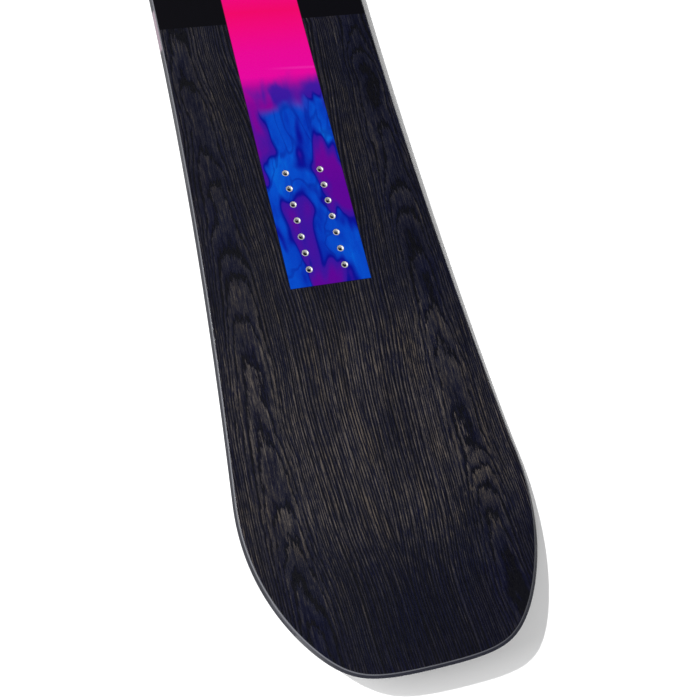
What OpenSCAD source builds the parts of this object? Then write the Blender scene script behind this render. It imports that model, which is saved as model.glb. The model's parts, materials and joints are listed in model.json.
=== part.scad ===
// Snowboard: directional-twin all-mountain deck of sandwich construction.
// Millimetres. +Y points to the nose, +X to the toe side, +Z up. The origin
// lies on the ground plane under the middle of the board. Heights written
// "h" are measured straight up from the running base at the same Y.

/* [Board] */
// Length over both tips
board_len = 1570; // [1480:10:1640]
// Width of the running base at the waist
waist_w = 255; // [246:1:262]
// Radius of the sidecut
sidecut_r = 7000; // [6600:50:8400]
// Distance from the middle to each running-contact line
contact_y = 553; // [541:4:569]
// Where the sidecut hands over to the rounded tip, from the middle
tip_start_y = 587; // [575:4:607]

/* [Profile] */
// Camber: height of the base above the ground in the middle
camber = 4; // [2:0.5:7]
// Radius of the upturn behind each contact line
kick_r = 720; // [640:20:800]
// Angle of the tips after the upturn
kick_a = 14.5; // [12.5:0.5:16]
// Thickness of the whole laminate in the middle
t_mid = 10; // [9.5:0.1:11]
// Thickness at the contact lines
t_contact = 8.4; // [7:0.1:9]
// Thickness at the tips
t_tip = 5; // [5:0.1:5.6]
// Half length of the full-thickness middle
t_flat_y = 220; // [150:10:280]

/* [Edges and sidewalls] */
// Height and width of the steel edge bar
edge_s = 2; // [1.8:0.1:2.4]
// Thickness of the steel edge flange
flange_t = 0.6; // [0.4:0.1:0.8]
// Reach of the flange from the outline
flange_w = 7; // [6:0.5:9]
// Gap between the ends of the two steel edges
edge_gap = 0.3; // [0.2:0.1:0.6]
// Reach of the rubber foil from the outline
foil_w = 14; // [12:0.5:16]
// Width of the sidewall
sidewall_w = 12; // [10:0.5:14]
// How far the bevelled sidewall leans in up to the top layers
bevel = 3; // [2.4:0.1:3.6]

/* [Inserts] */
// Insert spacing across the board
ins_dx = 40; // [40]
// Insert spacing along the board
ins_dy = 20; // [20]
// Rows of inserts in each pack
ins_rows = 7; // [5:1:7]
// Distance from the middle to the tail pack
tail_pack_y = 290; // [270:5:300]
// Distance from the middle to the nose pack
nose_pack_y = 270; // [250:5:290]
// Tapping bore of the M6 insert
ins_bore_r = 2.5; // [2.5]
// Radius of the insert barrel
ins_barrel_r = 3.9; // [3.7:0.1:4.2]
// Radius of the insert flange
ins_flange_r = 8.5; // [7.5:0.5:9]

/* [Top layer] */
// Width of the printed centre strip
strip_w = 91.6; // [86:0.2:96]
// Reach of the strip past the middle of each insert pack
strip_over = 80.6; // [76:0.2:90]
// Length of the dark band across the middle
band_len = 50; // [30:5:80]

/* [Hidden] */

half = board_len / 2;
big = 400;

// Heights of the layers above the base, from the bottom up
h_base = edge_s - flange_t;       // top of the base sheet
h_edge = edge_s;                  // top of the steel edge
h_foil = h_edge + 0.3;            // top of the rubber foil
h_glass = h_foil + 0.4;           // top of the lower glass
h_mat = h_glass + 0.2;            // top of the insert mat
h_flange = h_mat + 0.3;           // underside of the insert flange
flange_h = 1.0;                   // thickness of the insert flange
top_t = 0.6;                      // wood veneer and printed strip
glass_t = 0.7;                    // upper glass
bevel_h = h_glass + 0.5;          // where the sidewall bevel starts
mat_w = 120;                      // insert mat, across
mat_l = 190;                      // insert mat, along
core_y = 690;                     // half length of the wood core
hole_r = ins_barrel_r + 0.05;     // holes round the insert barrels

// Lines between the core strips, from the middle outwards
core_x = [10, 30, 58, 86];

// ---- side profile ----------------------------------------------------
kick_u = kick_r * sin(kick_a);
kick_z = kick_r * (1 - cos(kick_a));
// Height of the running base above the ground
function base_z(y) = let (a = abs(y), u = a - contact_y)
    u <= 0 ? camber * pow(1 - pow(a / contact_y, 2), 1.3)
    : u < kick_u ? kick_r - sqrt(kick_r * kick_r - u * u)
    : kick_z + (u - kick_u) * tan(kick_a);
// Thickness of the laminate
function thick(y) = let (a = abs(y))
    a <= t_flat_y ? t_mid
    : a <= contact_y ? t_contact + (t_mid - t_contact)
        * (1 + cos(180 * (a - t_flat_y) / (contact_y - t_flat_y))) / 2
    : t_contact + (t_tip - t_contact)
        * min(1, (a - contact_y) / (half - contact_y));
// Stations along half the board at which the profile is exact
n_run = 18;
n_kick = 12;
st_half = concat([for (i = [0:n_run]) contact_y * i / n_run],
    [for (i = [1:n_kick]) contact_y + kick_u * i / n_kick], [half + 8]);
n_st = len(st_half);
st = concat([for (i = [n_st - 1:-1:1]) -st_half[i]], st_half);

// A level is [a, b]: height a plus b times the laminate thickness
function lev(y, l) = base_z(y) + l[0] + l[1] * thick(y);
// Height of a level on the straight lines between the stations
function lev_lin(y, l, i = 0) = (y <= st[i + 1] || i == len(st) - 2)
    ? let (k = (y - st[i]) / (st[i + 1] - st[i]))
        lev(st[i], l) * (1 - k) + lev(st[i + 1], l) * k
    : lev_lin(y, l, i + 1);

L_GROUND = [0, 0];
L_BASE = [h_base, 0];
L_EDGE = [h_edge, 0];
L_FOIL = [h_foil, 0];
L_GLASS = [h_glass, 0];
L_MAT = [h_mat, 0];
L_CORE = [-top_t - glass_t, 1];
L_UPPER = [-top_t, 1];
L_TOP = [0, 1];

// Everything between two levels, over the full width
module slab(lo, hi) rotate([90, 0, 90])
    linear_extrude(height = big, center = true)
        polygon(concat([for (y = st) [y, lev(y, lo)]],
            [for (i = [len(st) - 1:-1:0]) [st[i], lev(st[i], hi)]]));

// ---- plan outline ----------------------------------------------------
n_side = 16;
n_tip = 36;
tip_w = waist_w / 2 + tip_start_y * tip_start_y / (2 * sidecut_r);
tip_s = tip_start_y / sidecut_r;
// Control points of the tip curve, from the sidecut to the centre line
tip_p = [[tip_w, tip_start_y],
    [tip_w + (half - tip_start_y) * 0.72 * tip_s,
        tip_start_y + (half - tip_start_y) * 0.72],
    [waist_w * 0.276, half - 14], [waist_w * 0.425, half], [0, half]];
function bez(p, t) = len(p) == 1 ? p[0]
    : bez([for (i = [0:len(p) - 2]) p[i] * (1 - t) + p[i + 1] * t], t);
function bez_d(p, t) =
    bez([for (i = [0:len(p) - 2]) p[i + 1] - p[i]], t);
// Point moved by d to the left of its direction of travel
function inset(p, v, d) = p + d * [-v[1], v[0]] / norm(v);
// Outline of one quarter, moved in by d, from the waist to the tip
function quarter(d) = concat(
    [for (i = [0:n_side - 1]) let (y = tip_start_y * i / n_side)
        inset([waist_w / 2 + y * y / (2 * sidecut_r), y],
            [y / sidecut_r, 1], d)],
    [for (i = [0:n_tip]) let (t = i / n_tip)
        inset(bez(tip_p, t), bez_d(tip_p, t), d)]);
n_q = n_side + n_tip + 1;
// Outline of the toe half from tail to nose, ends at x = e
function toe_line(d, e = 0) = let (q = quarter(d)) [
    for (i = [n_q - 1:-1:1]) [i == n_q - 1 ? e : q[i][0], -q[i][1]],
    for (i = [0:n_q - 1]) [i == n_q - 1 ? e : q[i][0], q[i][1]]];
function rev(p) = [for (i = [len(p) - 1:-1:0]) p[i]];
function flip(p) = [for (q = rev(p)) [-q[0], q[1]]];
// Whole outline moved in by d
function outline(d) = let (a = toe_line(d), b = flip(a))
    concat(a, [for (i = [1:len(b) - 2]) b[i]]);

module plate(d, lo, hi) intersection() {
    translate([0, 0, -2]) linear_extrude(height = 80) polygon(outline(d));
    slab(lo, hi);
}
// Strip along the toe-side outline between insets d0 and d1
module toe_rail(d0, d1, lo, hi, e = 0) intersection() {
    translate([0, 0, -2]) linear_extrude(height = 80)
        polygon(concat(toe_line(d0, e), rev(toe_line(d1, e))));
    slab(lo, hi);
}
module to_heel() mirror([1, 0, 0]) children();

// Box over a rectangle in plan
module block(x0, x1, y0, y1) translate([x0, y0, -2])
    cube([x1 - x0, y1 - y0, 80]);

// ---- base, edges and foil --------------------------------------------
module base_sheet() color([0.07, 0.07, 0.08])
    plate(edge_s, L_GROUND, L_BASE);

module edge_toe() {
    toe_rail(0, edge_s, L_GROUND, L_BASE, edge_gap / 2);
    toe_rail(0, flange_w, L_BASE, L_EDGE, edge_gap / 2);
}
module steel_edge_toe() color([0.72, 0.73, 0.75]) edge_toe();
module steel_edge_heel() color([0.72, 0.73, 0.75]) to_heel() edge_toe();

module edge_rubber_toe() color([0.12, 0.12, 0.12])
    toe_rail(0, foil_w, L_EDGE, L_FOIL);
module edge_rubber_heel() color([0.12, 0.12, 0.12])
    to_heel() toe_rail(0, foil_w, L_EDGE, L_FOIL);

// ---- glass layers ----------------------------------------------------
module lower_glass() color([0.80, 0.84, 0.74]) {
    plate(flange_w, L_BASE, L_EDGE);
    plate(foil_w, L_EDGE, L_FOIL);
    plate(0, L_FOIL, L_GLASS);
}
module upper_glass() color([0.80, 0.84, 0.74]) difference() {
    plate(bevel, L_CORE, L_UPPER);
    pack_holes(hole_r);
}

// ---- insert packs ----------------------------------------------------
tail_y = [for (i = [0:ins_rows - 1])
    -tail_pack_y + (i - (ins_rows - 1) / 2) * ins_dy];
nose_y = [for (i = [0:ins_rows - 1])
    nose_pack_y + (i - (ins_rows - 1) / 2) * ins_dy];
function seat_z(y) = lev_lin(y, [h_flange, 0]);
function rim_z(y) = lev_lin(y, [-0.3, 1]);

module pack_holes(r) for (y = concat(tail_y, nose_y), s = [-1, 1])
    translate([s * ins_dx / 2, y, -2]) cylinder(r = r, h = 80, $fn = 48);

// Threaded insert: flange below, barrel up to the top layer
module insert(y) difference() {
    translate([0, y, 0]) union() {
        translate([0, 0, seat_z(y)])
            cylinder(r = ins_flange_r, h = flange_h, $fn = 64);
        translate([0, 0, seat_z(y)])
            cylinder(r = ins_barrel_r, h = rim_z(y) - seat_z(y), $fn = 64);
    }
    translate([0, y, 0]) cylinder(r = ins_bore_r, h = 60, $fn = 48);
    translate([0, y, rim_z(y) - 0.6])
        cylinder(r1 = ins_bore_r, r2 = ins_bore_r + 0.7, h = 0.7, $fn = 48);
}
module pack(ys) for (y = ys, s = [-1, 1])
    translate([s * ins_dx / 2, 0, 0]) insert(y);
module inserts_tail() color([0.80, 0.80, 0.82]) pack(tail_y);
module inserts_nose() color([0.80, 0.80, 0.82]) pack(nose_y);

// Film cap that keeps resin out of the bore from below
module caps(ys) intersection() {
    for (y = ys, s = [-1, 1]) translate([s * ins_dx / 2, y, 0])
        cylinder(r = ins_flange_r, h = seat_z(y), $fn = 64);
    slab(L_MAT, [h_mat + 5, 0]);
}
module insert_caps_tail() color([0.90, 0.72, 0.20]) caps(tail_y);
module insert_caps_nose() color([0.90, 0.72, 0.20]) caps(nose_y);

module mat(yc) intersection() {
    block(-mat_w / 2, mat_w / 2, yc - mat_l / 2, yc + mat_l / 2);
    slab(L_GLASS, L_MAT);
}
module insert_mat_tail() color([0.93, 0.93, 0.90]) mat(-tail_pack_y);
module insert_mat_nose() color([0.93, 0.93, 0.90]) mat(nose_pack_y);

// ---- core ------------------------------------------------------------
// Core strip between two x lines, clear of the mats
module strip(x0, x1) difference() {
    intersection() {
        block(x0, x1, -core_y, core_y);
        translate([0, 0, -2]) linear_extrude(height = 80)
            polygon(outline(sidewall_w));
        slab(L_GLASS, L_CORE);
    }
    for (yc = [-tail_pack_y, nose_pack_y]) intersection() {
        block(-mat_w / 2, mat_w / 2, yc - mat_l / 2, yc + mat_l / 2);
        slab([0, 0], L_MAT);
    }
}
module core_centre() color([0.90, 0.80, 0.60])
    strip(-core_x[0], core_x[0]);
module insert_strip() difference() {
    strip(core_x[0], core_x[1]);
    for (y = concat(tail_y, nose_y)) translate([ins_dx / 2, y, 0]) {
        translate([0, 0, -2]) cylinder(r = ins_flange_r + 0.1,
            h = seat_z(y) + flange_h + 2, $fn = 64);
        cylinder(r = hole_r, h = 80, $fn = 48);
    }
}
module core_insert_toe() color([0.80, 0.62, 0.42]) insert_strip();
module core_insert_heel() color([0.80, 0.62, 0.42])
    to_heel() insert_strip();
module core_inner_toe() color([0.92, 0.84, 0.66])
    strip(core_x[1], core_x[2]);
module core_inner_heel() color([0.92, 0.84, 0.66])
    to_heel() strip(core_x[1], core_x[2]);
module core_mid_toe() color([0.88, 0.77, 0.56])
    strip(core_x[2], core_x[3]);
module core_mid_heel() color([0.88, 0.77, 0.56])
    to_heel() strip(core_x[2], core_x[3]);
module core_outer_toe() color([0.92, 0.84, 0.66])
    strip(core_x[3], 200);
module core_outer_heel() color([0.92, 0.84, 0.66])
    to_heel() strip(core_x[3], 200);

// ---- sidewalls and tip spacers ---------------------------------------
// Wedge that planes the bevel on the toe-side outline, over one range of
// the outline's points
module bevel_plane(i0, i1) {
    e = 3;
    o = toe_line(0);
    a = toe_line(-e);
    b = toe_line(bevel * 2);
    function hb(y) = lev_lin(y, [bevel_h, 0]);
    function ht(y) = lev_lin(y, L_CORE);
    n = i1 - i0 + 1;
    pts = [for (i = [i0:i1]) let (y = o[i][1],
            m = (ht(y) - hb(y)) / bevel, x0 = i == 0 || i == len(o) - 1)
        each [[x0 ? -1 : a[i][0], a[i][1], hb(y) - e * m],
            [x0 ? -1 : b[i][0], b[i][1], hb(y) + 2 * bevel * m],
            [x0 ? -1 : a[i][0], a[i][1], hb(y) + 2 * bevel * m + 12]]];
    polyhedron(points = pts, faces = concat([[0, 1, 2]],
        [for (i = [0:n - 2], k = [0:2]) let (p = 3 * i + k,
            q = 3 * i + (k + 1) % 3) each
            [[q + 3, q, p], [p + 3, q + 3, p]]],
        [[3 * n - 1, 3 * n - 2, 3 * n - 3]]), convexity = 4);
}
n_o = 2 * n_q - 1;
module side_toe() difference() {
    intersection() {
        toe_rail(0, sidewall_w, L_GLASS, L_CORE);
        block(20, 200, -core_y, core_y);
    }
    bevel_plane(n_tip - 34, n_o - 1 - (n_tip - 34));
}
module sidewall_toe() color([0.62, 0.63, 0.66]) side_toe();
module sidewall_heel() color([0.62, 0.63, 0.66]) to_heel() side_toe();

module spacer_nose() difference() {
    intersection() {
        plate(0, L_GLASS, L_CORE);
        block(-200, 200, core_y, half + 5);
    }
    bevel_plane(n_o - 1 - n_tip, n_o - 1);
    to_heel() bevel_plane(n_o - 1 - n_tip, n_o - 1);
}
module nose_spacer() color([0.10, 0.11, 0.18]) spacer_nose();
module tail_spacer() color([0.10, 0.11, 0.18])
    mirror([0, 1, 0]) spacer_nose();

// ---- top layer -------------------------------------------------------
strip_y0 = -tail_pack_y - strip_over;
strip_y1 = nose_pack_y + strip_over;
module veneer_tail() color([0.20, 0.19, 0.21]) difference() {
    intersection() {
        plate(bevel, L_UPPER, L_TOP);
        block(-200, 200, -half - 5, -band_len / 2);
    }
    block(-strip_w / 2, strip_w / 2, strip_y0, 0);
}
module veneer_nose() color([0.20, 0.19, 0.21]) difference() {
    intersection() {
        plate(bevel, L_UPPER, L_TOP);
        block(-200, 200, band_len / 2, half + 5);
    }
    block(-strip_w / 2, strip_w / 2, 0, strip_y1);
}
module band_toe() intersection() {
    plate(bevel, L_UPPER, L_TOP);
    block(strip_w / 2, 200, -band_len / 2, band_len / 2);
}
module centre_band_toe() color([0.06, 0.06, 0.08]) band_toe();
module centre_band_heel() color([0.06, 0.06, 0.08]) to_heel() band_toe();
module graphic_strip() color([0.72, 0.05, 0.62]) difference() {
    intersection() {
        block(-strip_w / 2, strip_w / 2, strip_y0, strip_y1);
        slab(L_UPPER, L_TOP);
    }
    pack_holes(hole_r);
}

base_sheet();
steel_edge_toe();
steel_edge_heel();
edge_rubber_toe();
edge_rubber_heel();
lower_glass();
insert_mat_tail();
insert_mat_nose();
core_centre();
core_insert_toe();
core_insert_heel();
core_inner_toe();
core_inner_heel();
core_mid_toe();
core_mid_heel();
core_outer_toe();
core_outer_heel();
nose_spacer();
tail_spacer();
sidewall_toe();
sidewall_heel();
inserts_tail();
inserts_nose();
insert_caps_tail();
insert_caps_nose();
upper_glass();
veneer_tail();
veneer_nose();
centre_band_toe();
centre_band_heel();
graphic_strip();
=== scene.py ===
import json
import math

import bpy
import numpy as np
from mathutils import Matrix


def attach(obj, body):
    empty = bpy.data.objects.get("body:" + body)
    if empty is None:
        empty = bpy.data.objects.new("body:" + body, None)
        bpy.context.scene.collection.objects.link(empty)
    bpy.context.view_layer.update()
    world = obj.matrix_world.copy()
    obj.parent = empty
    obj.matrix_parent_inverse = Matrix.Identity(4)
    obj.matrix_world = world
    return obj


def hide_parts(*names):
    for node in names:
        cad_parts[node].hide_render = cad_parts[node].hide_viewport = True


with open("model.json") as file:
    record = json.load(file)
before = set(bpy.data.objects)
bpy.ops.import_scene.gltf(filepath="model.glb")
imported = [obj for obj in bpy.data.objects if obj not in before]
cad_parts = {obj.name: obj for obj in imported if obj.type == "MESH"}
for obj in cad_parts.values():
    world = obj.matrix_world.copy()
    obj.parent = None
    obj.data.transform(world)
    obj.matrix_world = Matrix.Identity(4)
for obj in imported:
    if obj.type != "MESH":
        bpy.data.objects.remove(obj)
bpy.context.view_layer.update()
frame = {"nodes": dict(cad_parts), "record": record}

# ---------------------------------------------------------------- shape law
# The same rules as the design: millimetres, +Y to the nose, +Z up.
HALF, WAIST, SIDE_R, CONTACT, TIP_Y = 785.0, 255.0, 7000.0, 553.0, 587.0
CAMBER, KICK_R, KICK_A = 4.0, 720.0, math.radians(14.5)
T_MID, T_CON, T_TIP, T_FLAT = 10.0, 8.4, 5.0, 220.0
BEVEL, SIDE_W, FOIL_W, FLANGE_W, EDGE_S, CORE_Y = 3.0, 12.0, 14.0, 7.0, 2.0, 690.0
H_BASE, H_EDGE, H_FOIL, H_GLASS, H_MAT, H_SEAT = 1.4, 2.0, 2.3, 2.7, 2.9, 3.2
TOP_T, GLASS_T = 0.6, 0.7
STRIP_W, STRIP_Y0, STRIP_Y1, BAND = 91.6, -370.6, 350.6, 25.0
TAIL_ROWS = [-290.0 + (i - 3) * 20 for i in range(7)]
NOSE_ROWS = [270.0 + (i - 3) * 20 for i in range(7)]
KU, KZ = KICK_R * math.sin(KICK_A), KICK_R * (1 - math.cos(KICK_A))


def base_z(y):
    a = abs(y)
    u = a - CONTACT
    if u <= 0:
        return CAMBER * (1 - (a / CONTACT) ** 2) ** 1.3
    if u < KU:
        return KICK_R - math.sqrt(KICK_R**2 - u * u)
    return KZ + (u - KU) * math.tan(KICK_A)


def thick(y):
    a = abs(y)
    if a <= T_FLAT:
        return T_MID
    if a <= CONTACT:
        return T_CON + (T_MID - T_CON) * (
            1 + math.cos(math.pi * (a - T_FLAT) / (CONTACT - T_FLAT))) / 2
    return T_CON + (T_TIP - T_CON) * min(1, (a - CONTACT) / (HALF - CONTACT))


def lev(y, l):
    return base_z(y) + l[0] + l[1] * thick(y)


G0, L_BASE, L_EDGE, L_FOIL, L_GLASS = (0, 0), (H_BASE, 0), (H_EDGE, 0), (H_FOIL, 0), (H_GLASS, 0)
L_CORE, L_UPPER, L_TOP = (-TOP_T - GLASS_T, 1), (-TOP_T, 1), (0, 1)

# tip curve, five control points
_W = WAIST / 2 + TIP_Y**2 / (2 * SIDE_R)
_L = HALF - TIP_Y
TIP = np.array([[_W, TIP_Y], [_W + _L * 0.72 * TIP_Y / SIDE_R, TIP_Y + _L * 0.72],
                [WAIST * 0.276, HALF - 14], [WAIST * 0.425, HALF], [0, HALF]])


def curve(s):
    """Point and direction of the outline: s to 1 on the sidecut, to 2 round the tip."""
    if s <= 1:
        y = TIP_Y * s
        return np.array([WAIST / 2 + y * y / (2 * SIDE_R), y]), np.array([y / SIDE_R, 1.0])
    t = s - 1
    p, q = TIP.copy(), TIP[1:] - TIP[:-1]
    while len(p) > 1:
        p = p[:-1] * (1 - t) + p[1:] * t
    while len(q) > 1:
        q = q[:-1] * (1 - t) + q[1:] * t
    return p[0], q[0]


def inset(s, d):
    p, v = curve(s)
    return p + d * np.array([-v[1], v[0]]) / np.hypot(*v)


def solve(y, d):
    lo, hi = 0.0, 2.0
    for _ in range(50):
        m = (lo + hi) / 2
        if inset(m, d)[1] < y:
            lo = m
        else:
            hi = m
    return (lo + hi) / 2


def stations(marks):
    """Fixed parameters of one quarter, with the marked y lines put in where they fall."""
    out = [("s", i / 62.0, TIP_Y * i / 62) for i in range(63)]
    n = 110
    out += [("s", 1 + t, inset(1 + t, 0)[1]) for t in (i / n for i in range(1, n + 1))]
    for y in marks:
        out = [o for o in out if abs(o[2] - y) > 2.0 or o[2] in (0,)]
        out.append(("y", y, y))
    return sorted(out, key=lambda o: o[2])


Q_TAIL, Q_NOSE = stations([BAND, -STRIP_Y0, CORE_Y]), stations([BAND, STRIP_Y1, CORE_Y])
_rings = {}


def ring(d):
    """Toe-side outline moved in by d, from the tail tip to the nose tip. A pair (d, e) moves in by
    e more round the tips, where the bevel is cut wider."""
    d, e = (round(v, 4) for v in (d if isinstance(d, tuple) else (d, 0.0)))
    if (d, e) not in _rings:
        def at(y):
            t = min(1.0, max(0.0, (y - 590.0) / 110.0))
            return d + e * t * t * (3 - 2 * t)

        def quarter(q):
            p = [inset(o[1] if o[0] == "s" else solve(o[1], at(o[1])), at(o[2])) for o in q]
            p[-1] = np.array([0.0, p[-1][1]])
            return np.array(p)
        a, b = quarter(Q_TAIL), quarter(Q_NOSE)
        _rings[(d, e)] = np.vstack([a[::-1] * [1, -1], b[1:]])
    return _rings[(d, e)]


def mark(y):
    q = Q_TAIL if y < 0 else Q_NOSE
    k = [i for i, o in enumerate(q) if o[0] == "y" and o[1] == abs(y)][0]
    return len(Q_TAIL) - 1 - k if y < 0 else len(Q_TAIL) - 1 + k


N_RING = len(Q_TAIL) + len(Q_NOSE) - 1


# ---------------------------------------------------------------- mesh tools
class Mesh:
    """Collects faces on welded points, in millimetres."""

    def __init__(self):
        self.v, self.f, self.key = [], [], {}

    def pt(self, x, y, z):
        k = (round(x, 4), round(y, 4), round(z, 4))
        if k not in self.key:
            self.key[k] = len(self.v)
            self.v.append((x / 1000, y / 1000, z / 1000))
        return self.key[k]

    def face(self, *ids):
        out = [i for n, i in enumerate(ids) if i != ids[n - 1]]
        if len(set(out)) >= 3 and len(set(out)) == len(out):
            self.f.append(out)

    def build(self, name, sharp=40):
        m = bpy.data.meshes.new(name)
        m.from_pydata(self.v, [], self.f)
        m.validate()
        import bmesh
        bm = bmesh.new()
        bm.from_mesh(m)
        bmesh.ops.remove_doubles(bm, verts=bm.verts, dist=1.5e-6)
        bmesh.ops.recalc_face_normals(bm, faces=bm.faces)
        bm.to_mesh(m)
        bm.free()
        m.shade_smooth()
        m.set_sharp_from_angle(angle=math.radians(sharp))
        o = bpy.data.objects.new(name, m)
        bpy.context.scene.collection.objects.link(o)
        return o


def rail(name, section, i0=0, i1=None, heel=False, end_x=None):
    """A closed section of (inset, level) points lofted along one side of the outline."""
    i1 = N_RING - 1 if i1 is None else i1
    m = Mesh()
    sx = -1 if heel else 1
    rows = []
    for i in range(i0, i1 + 1):
        row = []
        for d, l in section:
            x, y = ring(d)[i]
            if i in (0, N_RING - 1) and end_x is not None:
                x = end_x
            row.append(m.pt(sx * x, y, lev(y, l)))
        rows.append(row)
    n = len(section)
    for a, b in zip(rows, rows[1:]):
        for k in range(n):
            m.face(a[k], a[(k + 1) % n], b[(k + 1) % n], b[k])
    m.face(*rows[0])
    m.face(*rows[-1][::-1])
    return m.build(name)


def plate(name, prof, i0=0, i1=None, cut=None, sides=(1, -1)):
    """A plate across the board between ring points i0 and i1. prof runs down its edge from the top.
    cut=(x, k0, k1) leaves out the middle, out to x, between ring points k0 and k1."""
    i1 = N_RING - 1 if i1 is None else i1
    m = Mesh()
    rows = {i: [(ring(d)[i][0], ring(d)[i][1], l) for d, l in prof] for i in range(i0, i1 + 1)}

    def at(i, k, sx, x=None):
        px, y, l = rows[i][k]
        return m.pt(sx * (px if x is None else x), y, lev(y, l))

    K = len(prof) - 1
    for i in range(i0, i1):
        holed = cut is not None and cut[1] <= i and i + 1 <= cut[2]
        for sx in sides:
            for k in range(K):
                m.face(at(i, k, sx), at(i, k + 1, sx), at(i + 1, k + 1, sx), at(i + 1, k, sx))
        for k in (0, K):
            if holed:
                for sx in sides:
                    m.face(at(i, k, sx), at(i + 1, k, sx), at(i + 1, k, sx, cut[0]), at(i, k, sx, cut[0]))
            else:
                f = [at(i, k, 1), at(i + 1, k, 1)]
                if cut and i + 1 == cut[1]:
                    f += [at(i + 1, k, 1, cut[0]), at(i + 1, k, -1, cut[0])]
                f += [at(i + 1, k, -1), at(i, k, -1)]
                if cut and i == cut[2]:
                    f += [at(i, k, -1, cut[0]), at(i, k, 1, cut[0])]
                m.face(*f)
        if holed:
            for sx in sides:
                m.face(at(i, 0, sx, cut[0]), at(i + 1, 0, sx, cut[0]),
                       at(i + 1, K, sx, cut[0]), at(i, K, sx, cut[0]))
    for i in (i0, i1):
        if i in (0, N_RING - 1):
            continue
        if cut and cut[1] <= i <= cut[2]:
            for sx in sides:
                m.face(*([at(i, k, sx) for k in range(K + 1)]
                         + [at(i, K, sx, cut[0]), at(i, 0, sx, cut[0])]))
        else:
            m.face(*([at(i, k, 1) for k in range(K + 1)] + [at(i, k, -1) for k in range(K, -1, -1)]))
    if cut:
        for i in (cut[1], cut[2]):
            if i0 < i < i1:
                m.face(at(i, 0, 1, cut[0]), at(i, 0, -1, cut[0]),
                       at(i, K, -1, cut[0]), at(i, K, 1, cut[0]))
    return m.build(name)


def holed_strip(name, x, y0, y1, holes, r, lip):
    """The printed strip: a rectangle with round holes, whose rims are eased by lip."""
    from mathutils import Vector
    from mathutils.geometry import delaunay_2d_cdt
    ys = sorted({y0, y1, *[y0 + (y1 - y0) * i / 72 for i in range(73)]})
    m = Mesh()

    def circle(c, rr, n=48):
        return [(c[0] + rr * math.cos(2 * math.pi * k / n), c[1] + rr * math.sin(2 * math.pi * k / n))
                for k in range(n)]

    def sheet(rr, l, e):
        pts, edges = [], []
        for a, b in ((y0 + e, y0 + e), (y1 - e, y1 - e)):
            pts += [(-x + e, a), (x - e, b)]
        edges += [(0, 1), (1, 3), (3, 2), (2, 0)]
        for y in ys[1:-1]:
            if any(abs(y - c[1]) < rr + 0.4 for c in holes):
                continue
            n = len(pts)
            pts += [(-x + e, y), (x - e, y)]
            edges.append((n, n + 1))
        for c in holes:
            n = len(pts)
            q = circle(c, rr)
            pts += q
            edges += [(n + k, n + (k + 1) % len(q)) for k in range(len(q))]
        v, _, f, _, _, _ = delaunay_2d_cdt([Vector(p) for p in pts], edges, [], 0, 1e-5)
        for t in f:
            cx = sum(v[i][0] for i in t) / len(t)
            cy = sum(v[i][1] for i in t) / len(t)
            if abs(cx) > x - e + 1e-4 or not y0 + e - 1e-4 < cy < y1 - e + 1e-4:
                continue
            if any(math.hypot(cx - c[0], cy - c[1]) < rr * 0.999 for c in holes):
                continue
            m.face(*[m.pt(v[i][0], v[i][1], lev(v[i][1], l)) for i in t])
        side = sorted({round(p[1], 5) for p in v if abs(abs(p[0]) - (x - e)) < 1e-3})
        return side

    lip_l = (L_TOP[0] - lip, 1)
    top = sheet(r + lip, L_TOP, lip)
    bot = sheet(r, L_UPPER, 0)
    for c in holes:
        a, b = circle(c, r + lip), circle(c, r)
        n = len(a)
        for k in range(n):
            q = (k + 1) % n
            m.face(m.pt(*a[k], lev(a[k][1], L_TOP)), m.pt(*a[q], lev(a[q][1], L_TOP)),
                   m.pt(*b[q], lev(b[q][1], lip_l)), m.pt(*b[k], lev(b[k][1], lip_l)))
            m.face(m.pt(*b[k], lev(b[k][1], lip_l)), m.pt(*b[q], lev(b[q][1], lip_l)),
                   m.pt(*b[q], lev(b[q][1], L_UPPER)), m.pt(*b[k], lev(b[k][1], L_UPPER)))
    for sx in (1, -1):
        # eased long edge, then the wall down to the underside
        t_pts = [(sx * (x - lip), y) for y in top]
        w_pts = [(sx * x, y0 if k == 0 else y1 if k == len(top) - 1 else y) for k, y in enumerate(top)]
        for k in range(len(top) - 1):
            m.face(m.pt(*t_pts[k], lev(t_pts[k][1], L_TOP)), m.pt(*t_pts[k + 1], lev(t_pts[k + 1][1], L_TOP)),
                   m.pt(*w_pts[k + 1], lev(w_pts[k + 1][1], lip_l)), m.pt(*w_pts[k], lev(w_pts[k][1], lip_l)))
        up = [m.pt(*p, lev(p[1], lip_l)) for p in w_pts]
        for k in range(len(w_pts) - 1):
            a, b = w_pts[k], w_pts[k + 1]
            low = [y for y in bot if a[1] - 1e-4 <= y <= b[1] + 1e-4]
            m.face(*([up[k], up[k + 1]] + [m.pt(sx * x, y, lev(y, L_UPPER)) for y in reversed(low)]))
    for y, ye in ((y0, y0 + lip), (y1, y1 - lip)):
        m.face(m.pt(-x + lip, ye, lev(ye, L_TOP)), m.pt(x - lip, ye, lev(ye, L_TOP)),
               m.pt(x, y, lev(y, lip_l)), m.pt(-x, y, lev(y, lip_l)))
        m.face(m.pt(-x, y, lev(y, lip_l)), m.pt(x, y, lev(y, lip_l)),
               m.pt(x, y, lev(y, L_UPPER)), m.pt(-x, y, lev(y, L_UPPER)))
    return m.build(name, 30)


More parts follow.
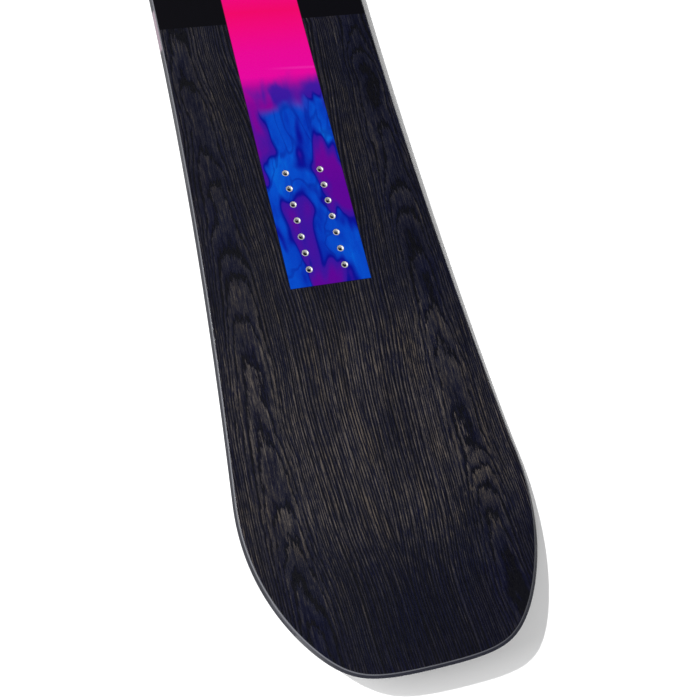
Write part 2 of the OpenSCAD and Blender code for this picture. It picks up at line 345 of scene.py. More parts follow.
def inserts(name, rows):
    """Fourteen threaded inserts: flange, barrel, chamfered mouth and a cut M6 thread."""
    m = Mesh()
    n, pitch, minor, depth = 40, 1.0, 2.5, 0.42
    for y in rows:
        for x in (-20.0, 20.0):
            z0, z1 = lev(y, (H_SEAT, 0)), lev(y, (-0.3, 1))
            step = pitch / 8
            count = int((z1 - 0.62 - z0 - 0.3) / step)
            prof = [(8.3, z0), (8.5, z0 + 0.2), (8.5, z0 + 0.8), (8.3, z0 + 1.0), (4.3, z0 + 1.0),
                    (3.98, z0 + 1.12), (3.9, z0 + 1.4), (3.9, z1 - 0.2), (3.84, z1 - 0.06),
                    (3.7, z1), (3.3, z1), (3.15, z1 - 0.04), (2.62, z1 - 0.56)]
            rings = [[m.pt(x + r * math.cos(2 * math.pi * k / n), y + r * math.sin(2 * math.pi * k / n), z)
                      for k in range(n)] for r, z in prof]
            top = z1 - 0.66
            for c in range(count + 1):
                z = top - c * (top - z0 - 0.25) / count
                fade = min(1.0, c / 3, (count - c) / 3)
                row = []
                for k in range(n):
                    ph = (z / pitch - k / n) % 1.0
                    w = max(0.0, min(1.0, (0.5 - abs(ph - 0.5)) * 2.6 - 0.35))
                    r = minor + depth * w * fade
                    row.append(m.pt(x + r * math.cos(2 * math.pi * k / n),
                                    y + r * math.sin(2 * math.pi * k / n), z))
                rings.append(row)
            rings.append([m.pt(x + 2.6 * math.cos(2 * math.pi * k / n),
                               y + 2.6 * math.sin(2 * math.pi * k / n), z0) for k in range(n)])
            for a, b in zip(rings, rings[1:] + rings[:1]):
                for k in range(n):
                    m.face(a[k], a[(k + 1) % n], b[(k + 1) % n], b[k])
    return m.build(name, 35)


# ---------------------------------------------------------------- pieces
made = {}


def keep(o, node):
    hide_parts(node)
    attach(o, "root")
    made[node] = o
    return o


M = {y: mark(y) for y in (-CORE_Y, STRIP_Y0, -BAND, BAND, STRIP_Y1, CORE_Y)}
SUP = 0.35   # flat ring inside each eased edge, which keeps the shading of the big faces even
T = L_TOP


def eased(d, top, e):
    """Points down a rounded top edge of radius e at inset d."""
    return [(d + e + SUP, (top[0], top[1]))] + [
        (d + e - e * math.sin(a), (top[0] - e + e * math.cos(a), top[1]))
        for a in (0, math.pi / 8, math.pi / 4, 3 * math.pi / 8, math.pi / 2)]


# running base, ground flat, with a small break at its joint with the steel
keep(plate("base_running_sheet", [(EDGE_S, L_BASE), (EDGE_S, (0.06, 0)), (EDGE_S + 0.06, G0),
                                  (EDGE_S + 0.06 + SUP, G0)]),
     "base_sheet")
EDGE = [(0.0, (0.16, 0)), (0.05, (0.06, 0)), (0.16, G0), (EDGE_S - 0.05, G0), (EDGE_S, (0.05, 0)),
        (EDGE_S, L_BASE), (FLANGE_W, L_BASE), (FLANGE_W, L_EDGE), (0.12, L_EDGE), (0.0, (H_EDGE - 0.12, 0))]
keep(rail("edge_steel_toe", EDGE, end_x=0.15), "steel_edge_toe")
keep(rail("edge_steel_heel", EDGE, heel=True, end_x=0.15), "steel_edge_heel")
FOIL = [(0.08, L_EDGE), (FOIL_W, L_EDGE), (FOIL_W, L_FOIL), (0.08, L_FOIL), (0.0, (H_FOIL - 0.1, 0)),
        (0.0, (H_EDGE + 0.1, 0))]
keep(rail("foil_rubber_toe", FOIL), "edge_rubber_toe")
keep(rail("foil_rubber_heel", FOIL, heel=True), "edge_rubber_heel")
keep(plate("glass_lower", [(SUP, L_GLASS), (0.0, L_GLASS), (0.0, L_FOIL), (FOIL_W, L_FOIL),
                           (FOIL_W, L_EDGE), (FLANGE_W, L_EDGE), (FLANGE_W, L_BASE)]),
     "lower_glass")
BV = [(0.0, (H_GLASS + 0.42, 0)), (0.05, (H_GLASS + 0.52, 0))]
BT, FLARE = BEVEL - 1.15, 0.8   # the bevel is cut on through the upper glass, so the laminate shows as a pale line
WALL = [(0.0, L_GLASS)] + BV + [((BT - 0.04, FLARE), (L_CORE[0] - 0.05, 1)), ((BT + 0.04, FLARE), L_CORE),
                               (SIDE_W, L_CORE), (SIDE_W, L_GLASS)]
keep(rail("side_wall_toe", WALL, M[-CORE_Y], M[CORE_Y]), "sidewall_toe")
keep(rail("side_wall_heel", WALL, M[-CORE_Y], M[CORE_Y], heel=True), "sidewall_heel")
TIPS = [((BT + 0.04 + SUP, FLARE), L_CORE), ((BT + 0.04, FLARE), L_CORE), ((BT - 0.04, FLARE), (L_CORE[0] - 0.05, 1))] + BV[::-1] + [(0.0, L_GLASS), (SUP, L_GLASS)]
keep(plate("tip_spacer_nose", TIPS, M[CORE_Y], None), "nose_spacer")
keep(plate("tip_spacer_tail", TIPS, 0, M[-CORE_Y]), "tail_spacer")
UPPER = [(d, FLARE) for d in (BEVEL + SUP, BEVEL, BT + 0.06, BT + 0.04, BT + 0.04 + SUP)]
UPPER = list(zip(UPPER, (L_UPPER, L_UPPER, (L_CORE[0] + 0.03, 1), L_CORE, L_CORE)))
keep(plate("glass_upper", UPPER), "upper_glass")
SKIN = [((d, FLARE), l) for d, l in eased(BEVEL, T, 0.35) + [(BEVEL, L_UPPER)]]
XS = STRIP_W / 2
keep(plate("veneer_skin_tail", SKIN, 0, M[-BAND], cut=(XS, M[STRIP_Y0], M[-BAND])), "veneer_tail")
keep(plate("veneer_skin_nose", SKIN, M[BAND], None, cut=(XS, M[BAND], M[STRIP_Y1])), "veneer_nose")
keep(plate("band_skin_toe", SKIN, M[-BAND], M[BAND], cut=(XS, M[-BAND], M[BAND]), sides=(1,)), "centre_band_toe")
keep(plate("band_skin_heel", SKIN, M[-BAND], M[BAND], cut=(XS, M[-BAND], M[BAND]), sides=(-1,)), "centre_band_heel")
HOLES = [(x, y) for y in TAIL_ROWS + NOSE_ROWS for x in (-20.0, 20.0)]
keep(holed_strip("strip_print", XS, STRIP_Y0, STRIP_Y1, HOLES, 3.95, 0.12), "graphic_strip")
keep(inserts("threaded_inserts_tail", TAIL_ROWS), "inserts_tail")
keep(inserts("threaded_inserts_nose", NOSE_ROWS), "inserts_nose")

# barrels pass through the upper glass
_h = Mesh()
for _x, _y in HOLES:
    _z0, _z1 = lev(_y, L_CORE) - 1, lev(_y, L_UPPER) + 1
    _a = [[_h.pt(_x + 3.95 * math.cos(2 * math.pi * k / 48), _y + 3.95 * math.sin(2 * math.pi * k / 48), z)
           for k in range(48)] for z in (_z0, _z1)]
    for k in range(48):
        _h.face(_a[0][k], _a[0][(k + 1) % 48], _a[1][(k + 1) % 48], _a[1][k])
    _h.face(*_a[0][::-1])
    _h.face(*_a[1])
_tool = _h.build("hole_tool")
_g = made["upper_glass"]
_mod = _g.modifiers.new("holes", "BOOLEAN")
_mod.operation, _mod.solver, _mod.object = "DIFFERENCE", "EXACT", _tool
_dg = bpy.context.evaluated_depsgraph_get()
_new = bpy.data.meshes.new_from_object(_g.evaluated_get(_dg), depsgraph=_dg)
_g.modifiers.clear()
_g.data = _new
_new.shade_smooth()
_new.set_sharp_from_angle(angle=math.radians(40))
bpy.data.objects.remove(_tool)


# ---------------------------------------------------------------- materials
class Nodes:
    """Short forms for the shader nodes used below. Numbers and sockets mix freely."""

    def __init__(self, name):
        self.m = bpy.data.materials.new(name)
        self.m.use_nodes = True
        self.t = self.m.node_tree
        self.t.nodes.clear()
        self.out = self.t.nodes.new("ShaderNodeOutputMaterial")
        self.bsdf = self.t.nodes.new("ShaderNodeBsdfPrincipled")
        self.t.links.new(self.bsdf.outputs[0], self.out.inputs[0])
        c = self.t.nodes.new("ShaderNodeTexCoord")
        s = self.vec("SCALE", c.outputs["Object"], 1000.0)
        self.p = s
        sep = self.t.nodes.new("ShaderNodeSeparateXYZ")
        self.t.links.new(s, sep.inputs[0])
        self.x, self.y, self.z = sep.outputs

    def put(self, socket, v):
        if isinstance(v, bpy.types.NodeSocket):
            self.t.links.new(v, socket)
        else:
            socket.default_value = v

    def op(self, kind, a, b=0.0, c=None, clamp=False):
        n = self.t.nodes.new("ShaderNodeMath")
        n.operation, n.use_clamp = kind, clamp
        self.put(n.inputs[0], a)
        self.put(n.inputs[1], b)
        if c is not None:
            self.put(n.inputs[2], c)
        return n.outputs[0]

    def add(self, a, b): return self.op("ADD", a, b)
    def sub(self, a, b): return self.op("SUBTRACT", a, b)
    def mul(self, a, b): return self.op("MULTIPLY", a, b)
    def mad(self, a, b, c): return self.op("MULTIPLY_ADD", a, b, c)

    def vec(self, kind, a, b):
        n = self.t.nodes.new("ShaderNodeVectorMath")
        n.operation = kind
        self.put(n.inputs[0], a)
        self.put(n.inputs["Scale"] if kind == "SCALE" else n.inputs[1], b)
        return n.outputs[0]

    def xyz(self, x, y, z=0.0):
        n = self.t.nodes.new("ShaderNodeCombineXYZ")
        for i, v in enumerate((x, y, z)):
            self.put(n.inputs[i], v)
        return n.outputs[0]

    def noise(self, vec, scale=1.0, detail=2.0, rough=0.5, distort=0.0, dims="3D"):
        n = self.t.nodes.new("ShaderNodeTexNoise")
        n.noise_dimensions = dims
        self.put(n.inputs["Vector"], vec)
        for k, v in (("Scale", scale), ("Detail", detail), ("Roughness", rough), ("Distortion", distort)):
            n.inputs[k].default_value = v
        return n.outputs[0]

    def voronoi(self, vec, feature="F1", rand=1.0):
        n = self.t.nodes.new("ShaderNodeTexVoronoi")
        n.feature = feature
        self.put(n.inputs["Vector"], vec)
        n.inputs["Scale"].default_value = 1.0
        n.inputs["Randomness"].default_value = rand
        return n.outputs[0]

    def step(self, v, a, b, lo=0.0, hi=1.0):
        """Smooth change from lo to hi as v goes from a to b."""
        n = self.t.nodes.new("ShaderNodeMapRange")
        n.interpolation_type = "SMOOTHSTEP"
        self.put(n.inputs[0], v)
        for i, k in enumerate((a, b, lo, hi)):
            self.put(n.inputs[i + 1], k)
        return n.outputs[0]

    def lin(self, v, a, b, lo=0.0, hi=1.0):
        n = self.t.nodes.new("ShaderNodeMapRange")
        self.put(n.inputs[0], v)
        for i, k in enumerate((a, b, lo, hi)):
            self.put(n.inputs[i + 1], k)
        return n.outputs[0]

    def ramp(self, fac, stops, mode="LINEAR"):
        n = self.t.nodes.new("ShaderNodeValToRGB")
        r = n.color_ramp
        r.interpolation = mode
        while len(r.elements) < len(stops):
            r.elements.new(0.5)
        for e, (pos, col) in zip(r.elements, stops):
            e.position = pos
            e.color = (*col, 1)
        self.put(n.inputs[0], fac)
        return n.outputs[0]

    def mix(self, fac, a, b, kind="MIX"):
        n = self.t.nodes.new("ShaderNodeMix")
        n.data_type, n.blend_type = "RGBA", kind
        self.put(n.inputs[0], fac)
        for i, v in ((6, a), (7, b)):
            self.put(n.inputs[i], v if isinstance(v, bpy.types.NodeSocket) else (*v, 1))
        return n.outputs[2]

    def bump(self, h, dist, strength=1.0):
        n = self.t.nodes.new("ShaderNodeBump")
        n.inputs["Strength"].default_value = strength
        n.inputs["Distance"].default_value = dist
        self.put(n.inputs["Height"], h)
        return n.outputs[0]

    def shader(self, color, rough, normal=None, coat_normal=None, **fixed):
        self.put(self.bsdf.inputs["Base Color"], color if isinstance(color, bpy.types.NodeSocket) else (*color, 1))
        self.put(self.bsdf.inputs["Roughness"], rough)
        if normal is not None:
            self.put(self.bsdf.inputs["Normal"], normal)
        if coat_normal is not None:
            self.put(self.bsdf.inputs["Coat Normal"], coat_normal)
        for k, v in fixed.items():
            self.bsdf.inputs[k.replace("_", " ")].default_value = v
        return self.m


def srgb(r, g, b):
    return tuple(c / 12.92 if c <= 0.04045 else ((c + 0.055) / 1.055) ** 2.4
                 for c in (v / 255 for v in (r, g, b)))


def seen(r, g, b, k=0.65, haze=0.0025):
    """Albedo of a top-side surface that reads as this colour under the studio light."""
    return tuple(max(0.0006, c * k - haze) for c in srgb(r, g, b))


def veneer_material():
    """Black-stained ash. Growth rings are cut by a plane that lies a little aslant, so they show as
    nested arches on each flank and as straight lines along the middle, where two leaves meet."""
    n = Nodes("stained_ash")
    ax = n.op("ABSOLUTE", n.x)
    side = n.op("SIGN", n.x)
    ysh = n.mad(side, 33.0, n.y)                       # the two leaves don't repeat each other exactly
    lane = n.xyz(n.mul(side, 40.0), n.mul(n.y, 0.0045), 3.0)
    xc = n.mad(n.noise(lane, 1.0, 1.0), 30.0, 88.0)    # centre line of each leaf's arches
    a = n.sub(ax, xc)
    near = n.step(n.op("ABSOLUTE", a), 8.0, 48.0)      # 0 at the arches, 1 out along the straight lines
    wav = n.noise(n.xyz(n.mul(n.x, 0.012), n.mul(ysh, 0.007), 7.0), 1.0, 2.0)
    depth = n.add(n.mad(n.mul(n.op("ABSOLUTE", ysh), -1.0), 0.066, 82.0), n.mul(n.mul(n.sub(wav, 0.5), 20.0), n.mad(near, -0.75, 1.0)))
    rad = n.op("SQRT", n.add(n.mul(a, a), n.mul(depth, depth)))
    wob = n.noise(n.xyz(n.mul(n.x, 0.07), n.mul(n.y, 0.010), 1.0), 1.0, 2.0)
    jag = n.noise(n.xyz(n.mul(n.x, 0.42), n.mul(n.y, 0.055), 5.0), 1.0, 4.0, 0.68)
    rad = n.add(rad, n.add(n.mul(n.mul(n.sub(wob, 0.5), 4.4), n.mad(near, -0.82, 1.0)),
                         n.mul(n.mul(n.sub(jag, 0.5), 5.0), n.mad(near, -0.93, 1.0))))
    ringc = n.op("DIVIDE", rad, n.mad(near, -1.15, 3.9))   # rings stand wider apart at the arches
    ringc = n.add(ringc, n.mul(n.noise(n.xyz(n.mul(ringc, 0.7), 0.0, 9.0), 1.0, 0.0), 1.1))
    f = n.op("FRACT", ringc)
    idx = n.op("FLOOR", ringc)
    year = n.noise(n.xyz(n.mul(idx, 7.3), side, 2.0), 1.0, 0.0)
    # early wood: sharp dark start with open pores, fading into smooth late wood
    w = n.mad(near, 0.20, n.mad(year, 0.24, 0.10))
    early = n.mul(n.step(f, 0.0, 0.07), n.step(n.sub(f, w), -0.14, 0.22, 1.0, 0.0))
    # fibres and open pores, long along the board
    fib = n.noise(n.xyz(n.mul(n.x, 0.52), n.mul(n.y, 0.012), 0.0), 1.0, 4.0, 0.70)
    fib2 = n.noise(n.xyz(n.mul(n.x, 1.05), n.mul(n.y, 0.075), 4.0), 1.0, 3.0, 0.66)
    pore = n.noise(n.xyz(n.mul(n.x, 1.25), n.mul(n.y, 0.14), 8.0), 1.0, 2.0, 0.60)
    pores = n.step(n.sub(pore, n.mul(early, 0.12)), 0.46, 0.36)
    mott = n.noise(n.xyz(n.mul(n.x, 0.22), n.mul(n.y, 0.07), 15.0), 1.0, 4.0, 0.65)
    # slow drifts of the stain
    cloud = n.noise(n.xyz(n.mul(n.x, 0.018), n.mul(n.y, 0.0075), 12.0), 1.0, 3.0)
    hue = n.noise(n.xyz(n.mul(n.x, 0.045), n.mul(n.y, 0.012), 21.0), 1.0, 4.0, 0.62)
    ay = n.op("ABSOLUTE", n.y)
    tipd = n.step(ay, 600.0, 730.0)                     # darker towards the tips
    mid = n.mul(n.step(ay, 350.0, 480.0), n.sub(1.0, tipd))   # rubbed lighter between inserts and tips
    v = n.mad(n.step(f, 0.5, 0.97), 0.12, 0.50)
    v = n.sub(v, n.mul(early, n.mad(mott, 0.60, n.mad(near, -0.12, 0.36))))
    speck = n.noise(n.xyz(n.mul(n.x, 1.5), n.mul(n.y, 0.70), 31.0), 1.0, 3.0, 0.80)
    v = n.add(v, n.mul(n.sub(speck, 0.5), 0.85))
    v = n.sub(v, n.mul(n.step(ax, 55.0, 105.0), 0.055))
    v = n.sub(v, n.mul(n.step(n.x, 45.0, 115.0), 0.04))     # painted shade: the toe-side flank is darkened where the light falls off
    v = n.add(v, n.mul(n.sub(fib, 0.5), n.mad(mid, 0.75, 1.15)))
    v = n.add(v, n.mul(n.sub(fib2, 0.5), n.mad(mid, 0.45, 0.85)))
    v = n.add(v, n.mul(n.sub(mott, 0.5), 0.50))
    v = n.add(v, n.mul(n.sub(year, 0.5), 0.22))
    v = n.add(v, n.mul(n.sub(cloud, 0.5), 0.50))
    v = n.add(v, n.sub(n.mul(mid, 0.17), n.mul(tipd, 0.16)))
    v = n.sub(v, n.mul(pores, 0.16))
    stops = [(0.0, (6, 8, 20)), (0.22, (14, 16, 32)), (0.42, (25, 26, 41)), (0.60, (41, 40, 47)),
             (0.80, (63, 59, 59)), (1.0, (94, 87, 83))]
    col = n.ramp(v, [(t, seen(*c)) for t, c in stops])
    cool = n.step(n.add(hue, n.mul(early, 0.09)), 0.46, 0.64)
    warm = n.mul(n.step(hue, 0.54, 0.38), n.step(v, 0.38, 0.62))
    col = n.mix(n.mul(n.mul(cool, n.step(v, 0.62, 0.36)), 0.80), col, n.mix(1.0, col, (0.66, 0.80, 1.28), "MULTIPLY"))
    col = n.mix(n.mul(warm, 0.75), col, n.mix(1.0, col, (1.07, 1.0, 0.86), "MULTIPLY"))
    h = n.add(n.mul(pores, -1.0), n.mul(fib2, 0.35))
    bump = n.bump(h, 0.00006, 0.6)
    gloss = n.bump(n.noise(n.vec("SCALE", n.p, 0.05), 1.0, 1.0), 0.0004, 0.25)
    return n.shader(col, n.mad(pores, 0.15, 0.45), bump, gloss, Coat_Weight=0.75, Coat_Roughness=0.20,
                    Coat_IOR=1.40, Specular_IOR_Level=0.12)


def band_material():
    n = Nodes("black_lacquer")
    g = n.noise(n.xyz(n.mul(n.x, 1.2), n.mul(n.y, 0.05), 0.0), 1.0, 3.0)
    col = n.mix(g, seen(11, 11, 17), seen(17, 16, 23))
    gloss = n.bump(n.noise(n.vec("SCALE", n.p, 0.05), 1.0, 1.0), 0.0004, 0.25)
    return n.shader(col, 0.45, gloss, gloss, Coat_Weight=1.0, Coat_Roughness=0.20, Coat_IOR=1.40, Specular_IOR_Level=0.1)


def strip_material():
    """Ink wash on plastic film: one warm end in the middle of the board, washes of cool inks beyond it."""
    n = Nodes("ink_wash")
    u = n.op("ABSOLUTE", n.add(n.y, 10.0))                        # distance from the strip's middle
    seed = n.mul(n.op("SIGN", n.add(n.y, 10.0)), 9.0)
    warp = n.noise(n.xyz(n.mul(n.x, 1 / 26.0), n.mul(n.y, 1 / 60.0), n.add(seed, 3.0)), 1.0, 1.5, 0.5)
    u2 = n.add(u, n.mul(n.sub(warp, 0.5), 62.0))
    warm = n.ramp(n.lin(u, 0.0, 240.0), [(0.0, seen(236, 2, 104)), (0.10, seen(235, 1, 124)), (0.24, seen(229, 1, 146)),
                                         (0.38, seen(226, 2, 155)), (0.44, seen(170, 4, 149)), (0.53, seen(128, 5, 146)),
                                         (0.72, seen(112, 10, 146)), (1.0, seen(92, 14, 146))])
    p = n.xyz(n.mul(n.x, 1 / 38.0), n.mul(n.y, 1 / 105.0), seed)
    w1 = n.noise(p, 1.0, 2.0, 0.45, 0.25)
    w2 = n.noise(n.vec("ADD", p, (5.0, 2.0, 4.0)), 1.5, 3.0, 0.5, 0.4)
    w3 = n.noise(n.vec("ADD", p, (1.0, 8.0, 2.0)), 2.6, 3.0, 0.5, 0.5)
    lean = n.lin(u, 120.0, 235.0, -0.065, 0.036)
    level = n.add(n.sub(w1, 0.5), lean)                           # above 0 the cool ink covers
    on = n.step(u2, 120.0, 142.0)
    # soft dusk of cool ink between the warm end and the first washes
    dusk = n.noise(n.vec("ADD", p, (7.0, 4.0, 1.0)), 1.2, 2.0, 0.5, 0.2)
    dusk = n.mul(n.step(dusk, 0.44, 0.60), n.mul(n.step(n.add(u, n.mul(n.sub(w2, 0.5), 60.0)), 88.0, 112.0), n.step(u, 235.0, 165.0)))
    warm = n.mix(n.mul(dusk, 0.90), warm, seen(34, 30, 157))
    cool = n.ramp(n.mad(w2, 0.65, n.mul(w3, 0.35)), [(0.30, seen(10, 40, 166)), (0.44, seen(4, 66, 188)),
                                                     (0.56, seen(3, 80, 200)), (0.70, seen(3, 106, 214))])
    # each wash bleeds outwards in violet and gathers pigment just inside its rim
    bleed = n.mul(n.step(level, -0.10, -0.005), on)
    col = n.mix(bleed, warm, seen(58, 26, 154))
    inside = n.mul(n.step(level, -0.010, 0.012), on)
    col = n.mix(inside, col, n.mix(n.step(level, 0.004, 0.050), seen(18, 32, 157), cool))
    rim = n.mul(n.step(n.op("ABSOLUTE", n.sub(level, 0.004)), 0.0, 0.016, 1.0, 0.0), on)
    col = n.mix(n.mul(rim, 0.80), col, seen(12, 20, 140))
    # dark folds inside the washes
    fold = n.noise(n.vec("ADD", p, (3.0, 3.0, 7.0)), 1.3, 2.0, 0.5, 0.8)
    line = n.mul(n.step(n.op("ABSOLUTE", n.sub(fold, 0.5)), 0.004, 0.034, 1.0, 0.0), n.mul(inside, 0.50))
    col = n.mix(line, col, seen(8, 34, 150))
    # one pale crease across the ink where the two printing passes overlap
    cx = n.sub(u, n.mad(n.x, 0.05, 82.0))
    crease = n.mul(n.step(n.op("ABSOLUTE", cx), 0.4, 2.6, 1.0, 0.0), n.step(n.x, -20.0, 30.0))
    col = n.mix(n.mul(crease, 0.22), col, seen(244, 70, 190))
    grain = n.noise(n.vec("SCALE", n.p, 0.5), 1.0, 3.0, 0.65)
    col = n.mix(n.mul(n.step(u, 90.0, 150.0), 0.30), col,
                n.mix(n.step(grain, 0.35, 0.65), n.mix(1.0, col, (0.82, 0.82, 0.88), "MULTIPLY"), col))
    # thin dark keyline round the strip
    dx = n.sub(45.8, n.op("ABSOLUTE", n.x))
    dy = n.sub(360.6, u)
    key = n.step(n.op("MINIMUM", dx, dy), 0.55, 0.95, 1.0, 0.0)
    col = n.mix(n.mul(key, 0.85), col, (0.003, 0.003, 0.010))
    gloss = n.bump(n.noise(n.vec("SCALE", n.p, 0.05), 1.0, 1.0), 0.0004, 0.25)
    return n.shader(col, 0.45, gloss, gloss, Coat_Weight=0.45, Coat_Roughness=0.20, Coat_IOR=1.40, Specular_IOR_Level=0.0)


def sidewall_material():
    n = Nodes("sidewall_abs")
    mill = n.noise(n.xyz(n.mul(n.x, 0.02), n.mul(n.y, 0.35), n.mul(n.z, 2.5)), 1.0, 3.0, 0.6)
    col = n.mix(mill, (0.012, 0.0125, 0.0165), (0.020, 0.021, 0.027))
    # plain pale tinted stretch on the heel side at the waist
    pink = n.mul(n.mul(n.step(n.y, -53.0, -49.0), n.step(n.y, 6.0, 2.0)), n.step(n.x, -60.0, -61.0))
    tint = n.mix(mill, (0.135, 0.100, 0.122), (0.185, 0.140, 0.168))
    col = n.mix(pink, col, tint)
    scuff = n.step(n.noise(n.xyz(n.mul(n.x, 0.1), n.mul(n.y, 0.08), n.mul(n.z, 1.6)), 1.0, 5.0, 0.7), 0.62, 0.74)
    col = n.mix(n.mul(scuff, 0.25), col, (0.070, 0.073, 0.082))
    return n.shader(col, n.mad(scuff, 0.2, 0.42), n.bump(mill, 0.00005, 0.5), Specular_IOR_Level=0.2)


def spacer_material():
    n = Nodes("tip_spacer_plastic")
    mill = n.noise(n.xyz(n.mul(n.x, 0.3), n.mul(n.y, 0.3), n.mul(n.z, 2.5)), 1.0, 3.0, 0.6)
    col = n.mix(mill, (0.0085, 0.009, 0.015), (0.017, 0.018, 0.027))
    return n.shader(col, 0.42, n.bump(mill, 0.00005, 0.5), Specular_IOR_Level=0.35)


def glass_material(name, a, b):
    n = Nodes(name)
    weave = n.noise(n.xyz(n.mul(n.x, 0.9), n.mul(n.y, 0.9), n.mul(n.z, 6.0)), 1.0, 3.0, 0.65)
    ply = n.noise(n.xyz(n.mul(n.x, 0.03), n.mul(n.y, 0.03), n.mul(n.z, 11.0)), 1.0, 2.0)
    col = n.mix(n.mad(weave, 0.6, n.mul(ply, 0.4)), a, b)
    return n.shader(col, n.mad(weave, 0.15, 0.50), n.bump(weave, 0.00004, 0.5), Specular_IOR_Level=0.3)


def rubber_material():
    n = Nodes("foil_rubber")
    g = n.noise(n.vec("SCALE", n.p, 1.6), 1.0, 4.0, 0.7)
    return n.shader(n.mix(g, (0.010, 0.010, 0.011), (0.024, 0.024, 0.026)), n.mad(g, 0.2, 0.62), n.bump(g, 0.00005, 0.6))


def steel_material(name, along, tone=0.62, rough=0.24, stain=0.25, metal=1.0):
    n = Nodes(name)
    sc = n.xyz(n.mul(n.x, 0.25 if along else 2.0), n.mul(n.y, 0.05 if along else 2.0), n.mul(n.z, 18.0))
    br = n.noise(sc, 1.0, 4.0, 0.65)
    patch = n.noise(n.vec("SCALE", n.p, 0.03), 1.0, 4.0, 0.6)
    col = n.mix(br, (tone * 0.82, tone * 0.83, tone * 0.86), (tone * 1.05, tone * 1.05, tone * 1.06))
    col = n.mix(n.mul(n.step(patch, 0.56, 0.72), stain), col, (tone * 0.42, tone * 0.37, tone * 0.34))
    return n.shader(col, n.mad(br, 0.16, rough), n.bump(br, 0.00003, 0.5), Metallic=metal)


def base_material():
    """Sintered base, stone ground: fine crossed furrows that run along the board."""
    n = Nodes("ground_base")
    wx = n.noise(n.xyz(n.mul(n.x, 0.05), n.mul(n.y, 0.01), 0.0), 1.0, 1.0)
    fur = n.op("SINE", n.add(n.mul(n.add(n.x, n.mul(n.y, 0.10)), 5.2), n.mul(wx, 4.0)))
    fur2 = n.op("SINE", n.add(n.mul(n.sub(n.x, n.mul(n.y, 0.10)), 5.2), n.mul(wx, 4.0)))
    brk = n.noise(n.xyz(n.mul(n.x, 1.3), n.mul(n.y, 0.05), 3.0), 1.0, 3.0, 0.6)
    h = n.add(n.mul(n.add(fur, fur2), 0.25), brk)
    cloud = n.noise(n.vec("SCALE", n.p, 0.012), 1.0, 5.0, 0.6)
    col = n.mix(cloud, (0.0085, 0.0085, 0.0095), (0.019, 0.019, 0.021))
    wax = n.noise(n.xyz(n.mul(n.x, 0.11), n.mul(n.y, 0.016), 5.0), 1.0, 4.0, 0.65)
    col = n.mix(n.mul(n.step(wax, 0.52, 0.75), 0.25), col, (0.050, 0.050, 0.052))
    return n.shader(col, n.mad(wax, 0.22, 0.34), n.bump(h, 0.00004, 0.7))


def core_material(name, a, b, seed):
    n = Nodes(name)
    fib = n.noise(n.xyz(n.mul(n.x, 1.1), n.mul(n.y, 0.03), n.add(n.mul(n.z, 1.1), seed)), 1.0, 4.0, 0.65)
    ringv = n.noise(n.xyz(n.mul(n.x, 0.16), n.mul(n.y, 0.004), n.add(n.mul(n.z, 0.16), seed)), 1.0, 2.0)
    rings = n.step(n.op("FRACT", n.mul(ringv, 9.0)), 0.6, 1.0)
    v = n.sub(n.mad(fib, 1.3, -0.1), n.mul(rings, 0.22))
    return n.shader(n.ramp(v, [(0.1, a), (0.9, b)]), 0.62, n.bump(fib, 0.0001, 0.5))


def mat_material():
    n = Nodes("glass_fleece")
    f1 = n.noise(n.xyz(n.mul(n.x, 0.4), n.mul(n.y, 2.6), 1.0), 1.0, 3.0, 0.6, 1.5)
    f2 = n.noise(n.xyz(n.mul(n.x, 2.6), n.mul(n.y, 0.4), 6.0), 1.0, 3.0, 0.6, 1.5)
    f = n.op("MAXIMUM", f1, f2)
    return n.shader(n.ramp(f, [(0.35, (0.55, 0.56, 0.52)), (0.7, (0.86, 0.86, 0.82))]), 0.8, n.bump(f, 0.0001, 0.6))


def film_material():
    n = Nodes("cap_film")
    g = n.noise(n.vec("SCALE", n.p, 0.7), 1.0, 3.0, 0.6)
    return n.shader(n.mix(g, (0.020, 0.020, 0.022), (0.034, 0.034, 0.036)), 0.5, n.bump(g, 0.00003, 0.4))


MATS = {
    "base_plastic": base_material(), "edge_steel": steel_material("ground_steel", True, 0.40, 0.34),
    "foil_rubber": rubber_material(),
    "glass_laminate": glass_material("glass_epoxy", (0.066, 0.067, 0.080), (0.098, 0.100, 0.116)),
    "mat_fleece": mat_material(),
    "core_poplar": core_material("poplar", (0.42, 0.29, 0.15), (0.66, 0.50, 0.30), 0.0),
    "core_beech": core_material("beech", (0.30, 0.15, 0.07), (0.46, 0.26, 0.13), 7.0),
    "core_paulownia": core_material("paulownia", (0.36, 0.25, 0.14), (0.58, 0.43, 0.26), 13.0),
    "spacer_plastic": spacer_material(), "sidewall_plastic": sidewall_material(),
    "insert_steel": steel_material("stainless", False, 0.52, 0.40, 0.06, 0.60),
    "cap_film": film_material(), "stained_veneer": veneer_material(),
    "band_lacquer": band_material(), "printed_strip": strip_material(),
}
SLOT = {p["node"]: p["material_slot"] for p in frame["record"]["subparts"]}
for node, obj in frame["nodes"].items():
    for target in {obj, made.get(node, obj)}:
        target.data.materials.clear()
        target.data.materials.append(MATS[SLOT[node]])


# ---------------------------------------------------------------- stage
def area(name, loc, aim, size, power, color=(1, 1, 1)):
    from mathutils import Vector
    l = bpy.data.lights.new(name, "AREA")
    l.shape, l.size, l.size_y, l.energy, l.color = "RECTANGLE", size[0], size[1], power, color
    o = bpy.data.objects.new(name, l)
    bpy.context.scene.collection.objects.link(o)
    o.location = loc
    o.rotation_mode = "QUATERNION"
    o.rotation_quaternion = (Vector(aim) - Vector(loc)).to_track_quat("-Z", "Y")
    o.visible_camera = False
    return o


from mathutils import Matrix, Vector

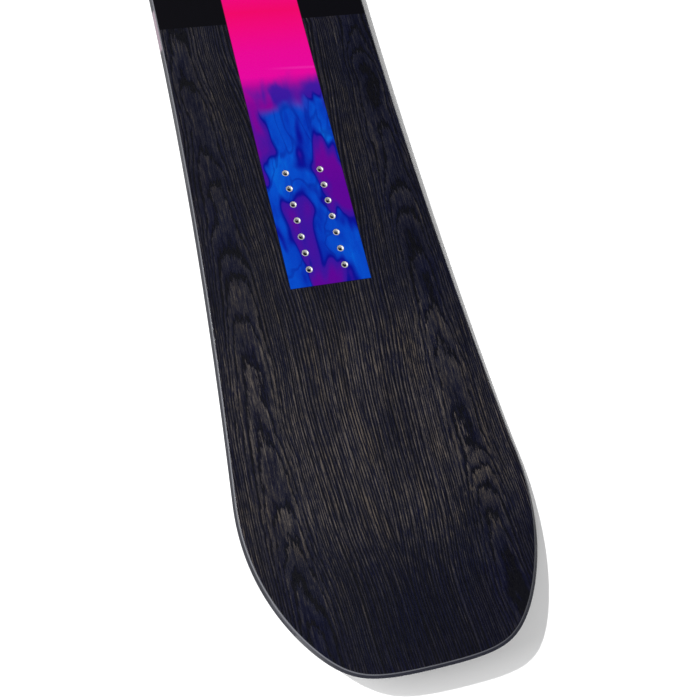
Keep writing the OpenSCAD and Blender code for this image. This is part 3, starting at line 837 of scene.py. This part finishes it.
sun = bpy.data.lights.new("key_sun", "SUN")
sun.energy, sun.angle = 3.5, math.radians(1.6)
so = bpy.data.objects.new("key_sun", sun)
bpy.context.scene.collection.objects.link(so)
so.rotation_mode = "QUATERNION"
so.rotation_quaternion = Vector((0.82, -0.52, -1.0)).to_track_quat("-Z", "Y")
area("fill_left", (-3.2, 0.2, 2.2), (0, -0.2, 0), (2.4, 1.6), 84)
area("fill_front", (-1.2, -3.6, 2.4), (0, -0.4, 0), (2.4, 1.4), 66)
area("fill_right", (3.4, -0.8, 1.6), (0, -0.3, 0), (2.4, 1.2), 16)

floor_m = Nodes("floor_paper")
_fn = floor_m.noise(floor_m.vec("SCALE", floor_m.p, 0.002), 1.0, 2.0)
floor_mat = floor_m.shader(floor_m.mix(_fn, (0.90, 0.90, 0.905), (0.915, 0.915, 0.915)), 0.9, Specular_IOR_Level=0.0)
_f = Mesh()
for _i in range(12):
    for _j in range(12):
        _c = [-15000 + 2500 * _i, -15000 + 2500 * _j]
        _f.face(_f.pt(_c[0], _c[1], 0), _f.pt(_c[0] + 2500, _c[1], 0),
                _f.pt(_c[0] + 2500, _c[1] + 2500, 0), _f.pt(_c[0], _c[1] + 2500, 0))
floor = _f.build("floor")
floor.data.materials.append(floor_mat)

world = bpy.data.worlds.new("studio")
bpy.context.scene.world = world
world.use_nodes = True
wt = world.node_tree
bg = wt.nodes["Background"]
bg.inputs[0].default_value = (1, 1, 1, 1)
lp = wt.nodes.new("ShaderNodeLightPath")
wg = wt.nodes.new("ShaderNodeMapRange")
wt.links.new(lp.outputs["Is Glossy Ray"], wg.inputs[0])
wg.inputs[3].default_value, wg.inputs[4].default_value = 0.34, 0.03
wm = wt.nodes.new("ShaderNodeMapRange")
wt.links.new(lp.outputs["Is Camera Ray"], wm.inputs[0])
wt.links.new(wg.outputs[0], wm.inputs[3])
wm.inputs[4].default_value = 1.0
wt.links.new(wm.outputs[0], bg.inputs[1])

cam = bpy.data.cameras.new("camera")
cam.sensor_width, cam.lens = 36.0, 57.188
cam.clip_start, cam.clip_end = 0.05, 60.0
co = bpy.data.objects.new("camera", cam)
bpy.context.scene.collection.objects.link(co)
co.matrix_world = Matrix(((0.9553115, 0.153907, -0.2523741, -0.294597),
                          (-0.2352541, 0.9127978, -0.3338498, -0.840825),
                          (0.1789847, 0.3783025, 0.9082134, 1.077228),
                          (0, 0, 0, 1)))
bpy.context.scene.camera = co
bpy.context.scene.view_settings.view_transform = "Standard"
bpy.context.scene.view_settings.look = "None"
